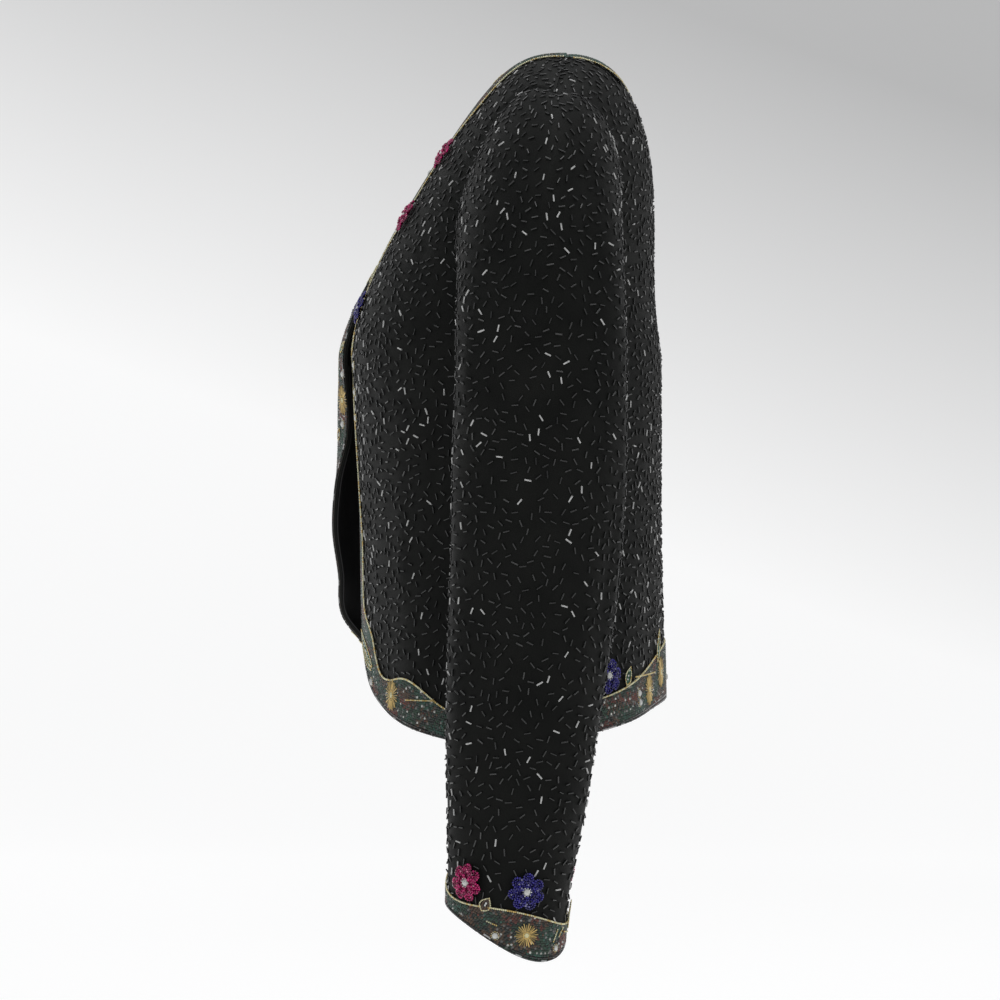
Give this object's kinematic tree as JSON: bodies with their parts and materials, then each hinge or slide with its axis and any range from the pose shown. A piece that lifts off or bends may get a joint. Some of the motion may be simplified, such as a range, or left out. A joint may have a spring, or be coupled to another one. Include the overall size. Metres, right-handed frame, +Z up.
{
  "type": "beaded evening jacket",
  "caption": "Waist-length black evening jacket, V-neck, rounded open fronts and long set-in sleeves, scattered bugle beads and a beaded flower border.",
  "frame": {"origin": "midway between the two neck points, where the shoulder seams meet the neckline", "axes": "+Z up, the front faces -Y, +X towards the wearer's left"},
  "size_m": [0.5796, 0.2506, 0.6356],
  "materials": {
    "silk": "black silk crepe, soft sheen",
    "lining": "plain black lining",
    "band_beads": "dark green and brown seed beads",
    "bugle_beads": "glossy black bugle beads",
    "gold_beads": "gold and cream beads",
    "green_beads": "green beads",
    "pink_beads": "glossy magenta beads",
    "blue_beads": "glossy royal blue beads",
    "crystal": "clear faceted stones"
  },
  "bodies": {
    "root": {"front_left": "silk", "front_right": "silk", "back": "silk", "sleeve_left": "silk", "sleeve_right": "silk", "border_front_left": "band_beads", "border_front_right": "band_beads", "border_back_hem": "band_beads", "border_back_neck": "band_beads", "border_cuff_left": "band_beads", "border_cuff_right": "band_beads", "lining_front_right": "lining", "flower_front_left_1_blue": "blue_beads", "flower_front_left_2_pink": "pink_beads", "flower_front_left_3_pink": "pink_beads", "flower_cuff_left_1_pink": "pink_beads", "flower_cuff_left_2_blue": "blue_beads", "flower_cuff_left_3_pink": "pink_beads", "flower_cuff_left_4_blue": "blue_beads", "flower_front_right_1_blue": "blue_beads", "flower_front_right_2_pink": "pink_beads", "flower_front_right_3_pink": "pink_beads", "flower_cuff_right_1_pink": "pink_beads", "flower_cuff_right_2_blue": "blue_beads", "flower_cuff_right_3_pink": "pink_beads", "flower_cuff_right_4_blue": "blue_beads", "flower_back_1_blue": "blue_beads", "flower_back_2_blue": "blue_beads"}
  },
  "joints": []
}
